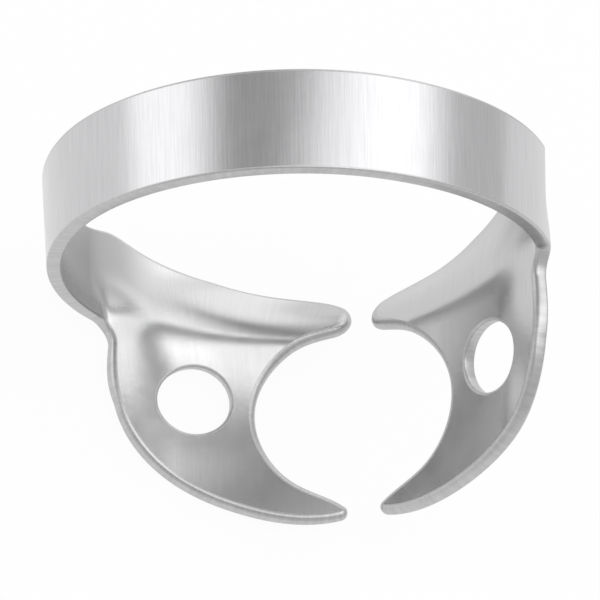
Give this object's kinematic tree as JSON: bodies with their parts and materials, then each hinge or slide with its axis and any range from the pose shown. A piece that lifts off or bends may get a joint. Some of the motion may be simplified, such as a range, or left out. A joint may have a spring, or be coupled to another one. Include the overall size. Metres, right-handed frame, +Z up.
{
  "type": "rubber dam clamp",
  "caption": "Molar clamp of bent spring steel: a wide bow joins pronged jaws, each with an oval hole for forceps, and holds a rubber dam on a tooth.",
  "frame": {"origin": "middle of the footprint, on the surface that the clamp lies on", "axes": "+Z up from that surface, +Y towards the bow's distal side, +X towards the jaw that points up"},
  "size_m": [0.0236, 0.0156, 0.0231],
  "materials": {
    "steel": "satin"
  },
  "bodies": {
    "root": {"clamp": "steel"}
  },
  "joints": []
}
